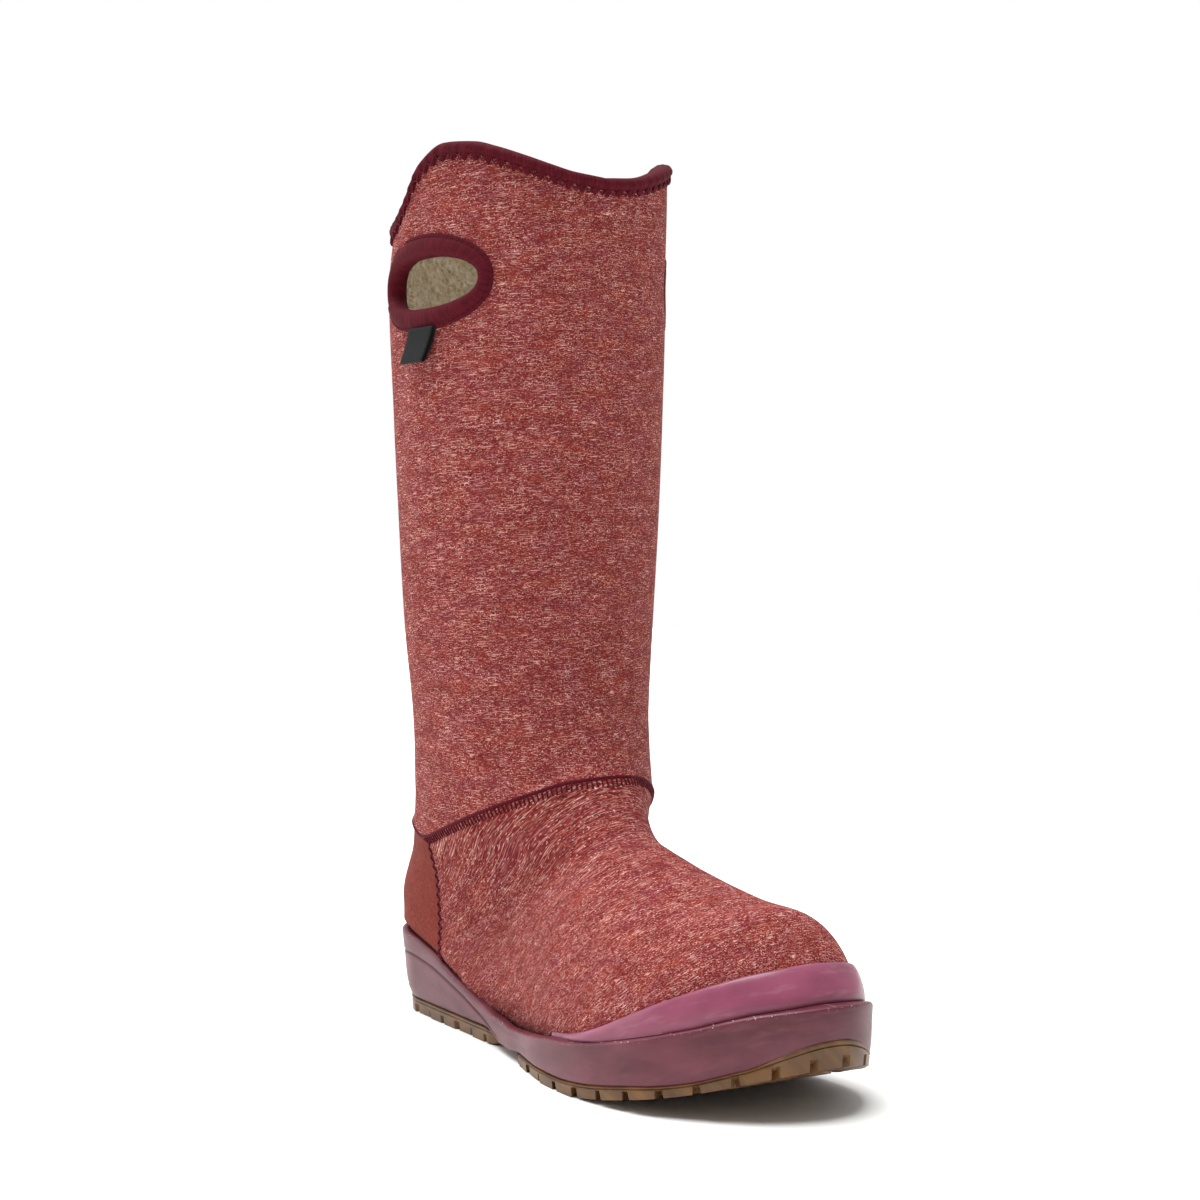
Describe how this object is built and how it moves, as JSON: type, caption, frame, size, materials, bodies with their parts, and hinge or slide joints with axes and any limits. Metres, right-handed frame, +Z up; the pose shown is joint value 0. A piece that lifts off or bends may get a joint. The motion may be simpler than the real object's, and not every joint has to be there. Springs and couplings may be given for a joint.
{
  "type": "tall pull-on winter boot",
  "caption": "Tall pull-on boot for the right foot: soft insulated textile shaft with oval pull handles, rubber toe bumper, cupped midsole and lugged gum outsole.",
  "frame": {"origin": "on the ground under the middle of the heel, on a flat lug face of the outsole", "axes": "+X towards the toe, +Y towards the wearer's other foot (medial), +Z up along the shaft"},
  "size_m": [0.2809, 0.1201, 0.3732],
  "materials": {
    "shaft_textile": "heathered knit over foam, fleece inside",
    "binding_knit": "smooth elastic knit",
    "tab_cloth": "tight woven tape",
    "bumper_rubber": "satin",
    "cup_rubber": "matte",
    "gum_rubber": "satin gum rubber",
    "footbed_felt": "felt"
  },
  "bodies": {
    "root": {"upper": "shaft_textile", "collar_binding": "binding_knit", "handle_binding_right": "binding_knit", "handle_binding_left": "binding_knit", "side_tab": "tab_cloth", "toe_bumper": "bumper_rubber", "midsole": "cup_rubber", "outsole": "gum_rubber", "insole": "footbed_felt"}
  },
  "joints": []
}
